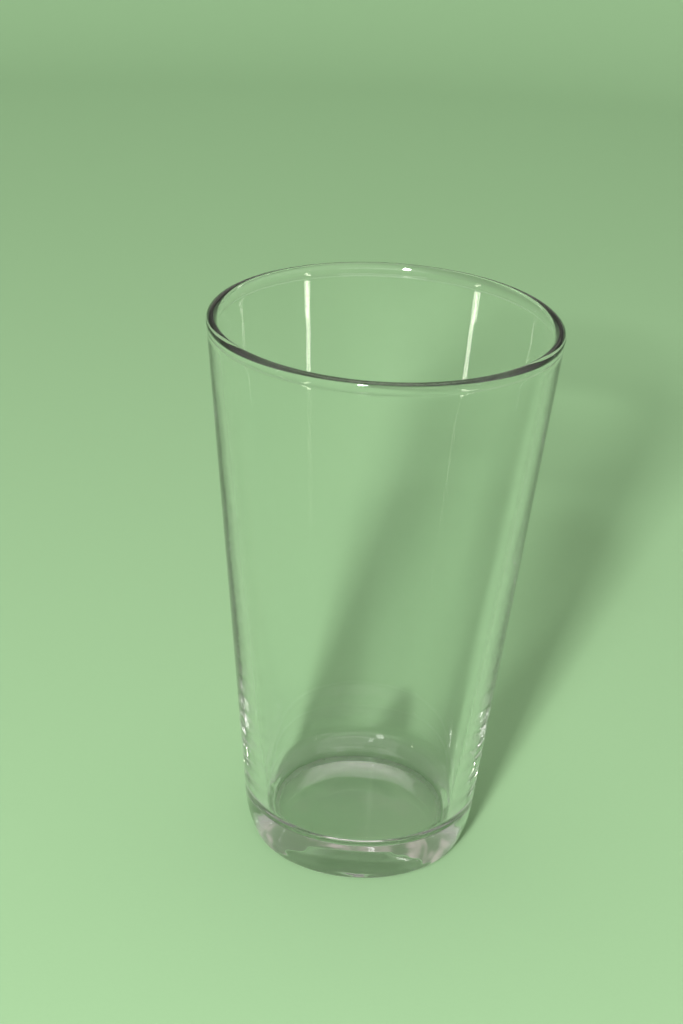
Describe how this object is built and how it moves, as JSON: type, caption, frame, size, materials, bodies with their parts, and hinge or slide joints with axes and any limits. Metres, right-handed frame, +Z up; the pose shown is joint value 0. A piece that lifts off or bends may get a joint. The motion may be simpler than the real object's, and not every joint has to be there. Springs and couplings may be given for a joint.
{
  "type": "mixing glass",
  "caption": "Clear conical bar mixing glass with a fire-polished rounded rim, walls thickening towards a heavy base, and a shallow push-up underneath.",
  "frame": {"origin": "centre of the plane of the bearing ring that the glass rests on", "axes": "+Z up along the axis of revolution, from the bearing ring to the rim; the glass looks the same in every direction about +Z"},
  "size_m": [0.0888, 0.0888, 0.146],
  "materials": {
    "clear_glass": "clear pressed soda-lime glass, fire-polished, glossy, very faint grey-green in thick sections"
  },
  "bodies": {
    "root": {"glass_body": "clear_glass"}
  },
  "joints": []
}
